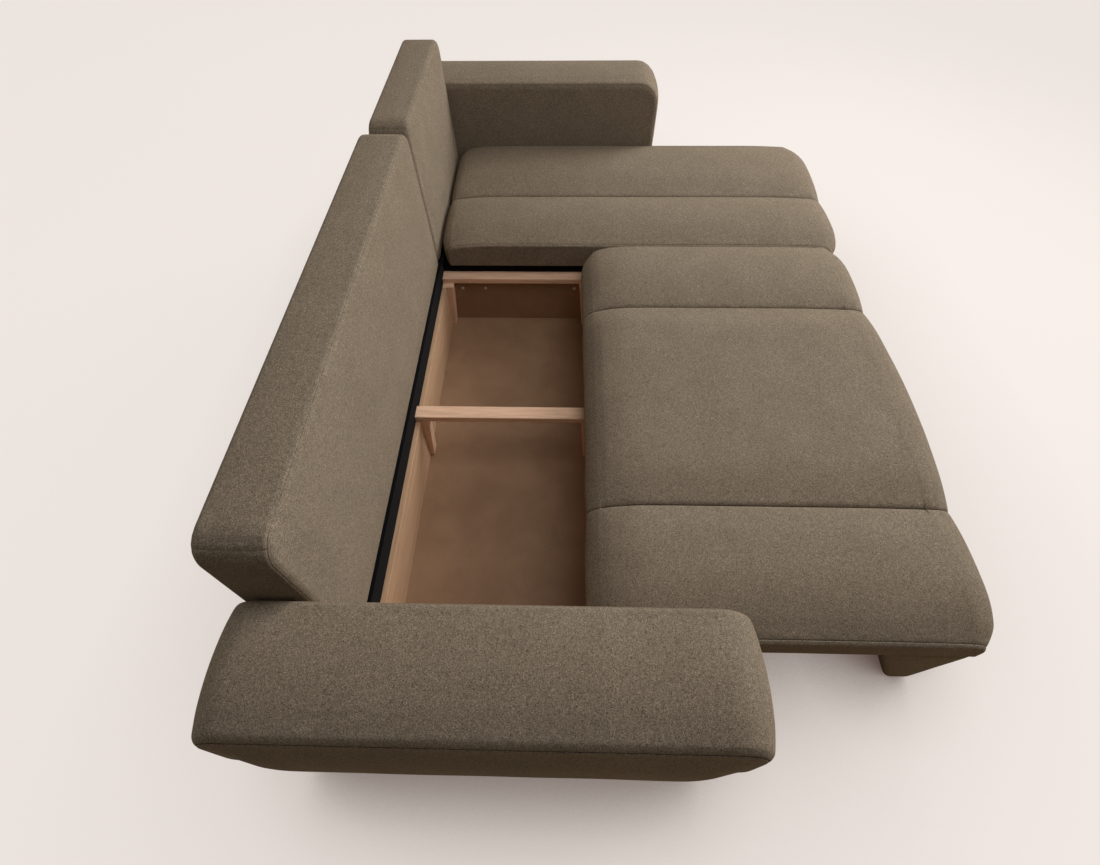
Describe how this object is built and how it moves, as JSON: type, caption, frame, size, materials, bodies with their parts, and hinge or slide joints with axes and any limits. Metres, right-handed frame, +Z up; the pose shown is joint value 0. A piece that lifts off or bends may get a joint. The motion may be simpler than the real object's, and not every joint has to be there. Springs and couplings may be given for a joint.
{
  "type": "corner sofa with pull-out seat and storage box",
  "caption": "Corner sofa with a chaise, block arms and a seat that slides out on runners and castors over an open wooden storage box.",
  "frame": {"origin": "on the floor under the middle of the whole sofa, with the seat pulled out", "axes": "+X from the plain arm towards the chaise, +Y towards the back, +Z up; the front faces -Y"},
  "size_m": [2.8, 1.775, 0.88],
  "materials": {
    "black_plastic": "black nylon",
    "light_wood": "planed light beech and pine",
    "upholstery": "felted wool-look weave, taupe",
    "black_cloth": "black nonwoven cloth",
    "brown_board": "dark brown board",
    "zinc_steel": "zinc-plated sheet steel",
    "castor_rubber": "soft grey-black rubber",
    "upholstered_panel": "board covered in the same taupe fabric",
    "webbing": "black elastic webbing",
    "zinc": "zinc-plated screws"
  },
  "bodies": {
    "sofa": {"arm_glides": "black_plastic", "arm_spacers": "light_wood", "back_cushion_long": "upholstery", "back_cushion_short": "upholstery", "back_frame_long": "light_wood", "back_frame_short": "light_wood", "back_rail_long": "black_cloth", "back_rail_short": "black_cloth", "box_crossbar": "light_wood", "box_far_wall": "brown_board", "box_feet": "black_plastic", "box_floor": "light_wood", "box_front_board_a": "light_wood", "box_front_board_b": "light_wood", "box_near_wall": "brown_board", "box_posts": "light_wood", "box_rear_board_a": "light_wood", "box_rear_board_b": "light_wood", "box_rim_bars": "light_wood", "chaise_cushion": "upholstery", "chaise_feet": "black_plastic", "chaise_floor": "light_wood", "chaise_frame": "light_wood", "chaise_front_panel": "upholstered_panel", "chaise_side_far": "upholstered_panel", "chaise_side_near": "upholstered_panel", "chaise_webbing": "webbing", "left_arm": "upholstery", "left_arm_frame": "light_wood", "rear_panel_long": "upholstered_panel", "rear_panel_short": "upholstered_panel", "right_arm": "upholstery", "right_arm_frame": "light_wood", "slide_outer_far": "zinc_steel", "slide_outer_near": "zinc_steel", "slide_screws_far": "zinc", "slide_screws_near": "zinc"},
    "pull_out_seat": {"seat_cushion": "upholstery", "seat_frame": "light_wood", "seat_webbing": "webbing", "seat_dust_cloth": "black_cloth", "seat_front_panel": "upholstered_panel", "slide_inner_far": "zinc_steel", "slide_inner_near": "zinc_steel", "slide_bracket_far": "zinc_steel", "slide_bracket_near": "zinc_steel", "castor_bracket_near": "zinc_steel", "castor_bracket_far": "zinc_steel", "castor_axle_near": "zinc_steel", "castor_axle_far": "zinc_steel"},
    "slide_middles": {"slide_middle_far": "zinc_steel", "slide_middle_near": "zinc_steel"},
    "wheel_near": {"castor_hub_near": "black_plastic", "castor_tyre_near": "castor_rubber"},
    "wheel_far": {"castor_hub_far": "black_plastic", "castor_tyre_far": "castor_rubber"}
  },
  "joints": [
    {"name": "seat_slide", "type": "slide", "parent": "sofa", "child": "pull_out_seat", "axis": [0, 1, 0], "range_m": [0, 0.565]},
    {"name": "slide_middle_run", "type": "slide", "parent": "sofa", "child": "slide_middles", "axis": [0, 1, 0], "range_m": [0, 0.2825]},
    {"name": "wheel_near_roll", "type": "hinge", "parent": "pull_out_seat", "child": "wheel_near", "pos_m": [-1.001, -0.8115, 0.02], "axis": [1, 0, 0], "continuous": true},
    {"name": "wheel_far_roll", "type": "hinge", "parent": "pull_out_seat", "child": "wheel_far", "pos_m": [0.251, -0.8115, 0.02], "axis": [1, 0, 0], "continuous": true}
  ],
  "couplings": [
    {"joint": "slide_middle_run", "follows": "seat_slide", "ratio": 0.5},
    {"joint": "wheel_near_roll", "follows": "seat_slide", "rad_per_m": -50},
    {"joint": "wheel_far_roll", "follows": "seat_slide", "rad_per_m": -50}
  ]
}
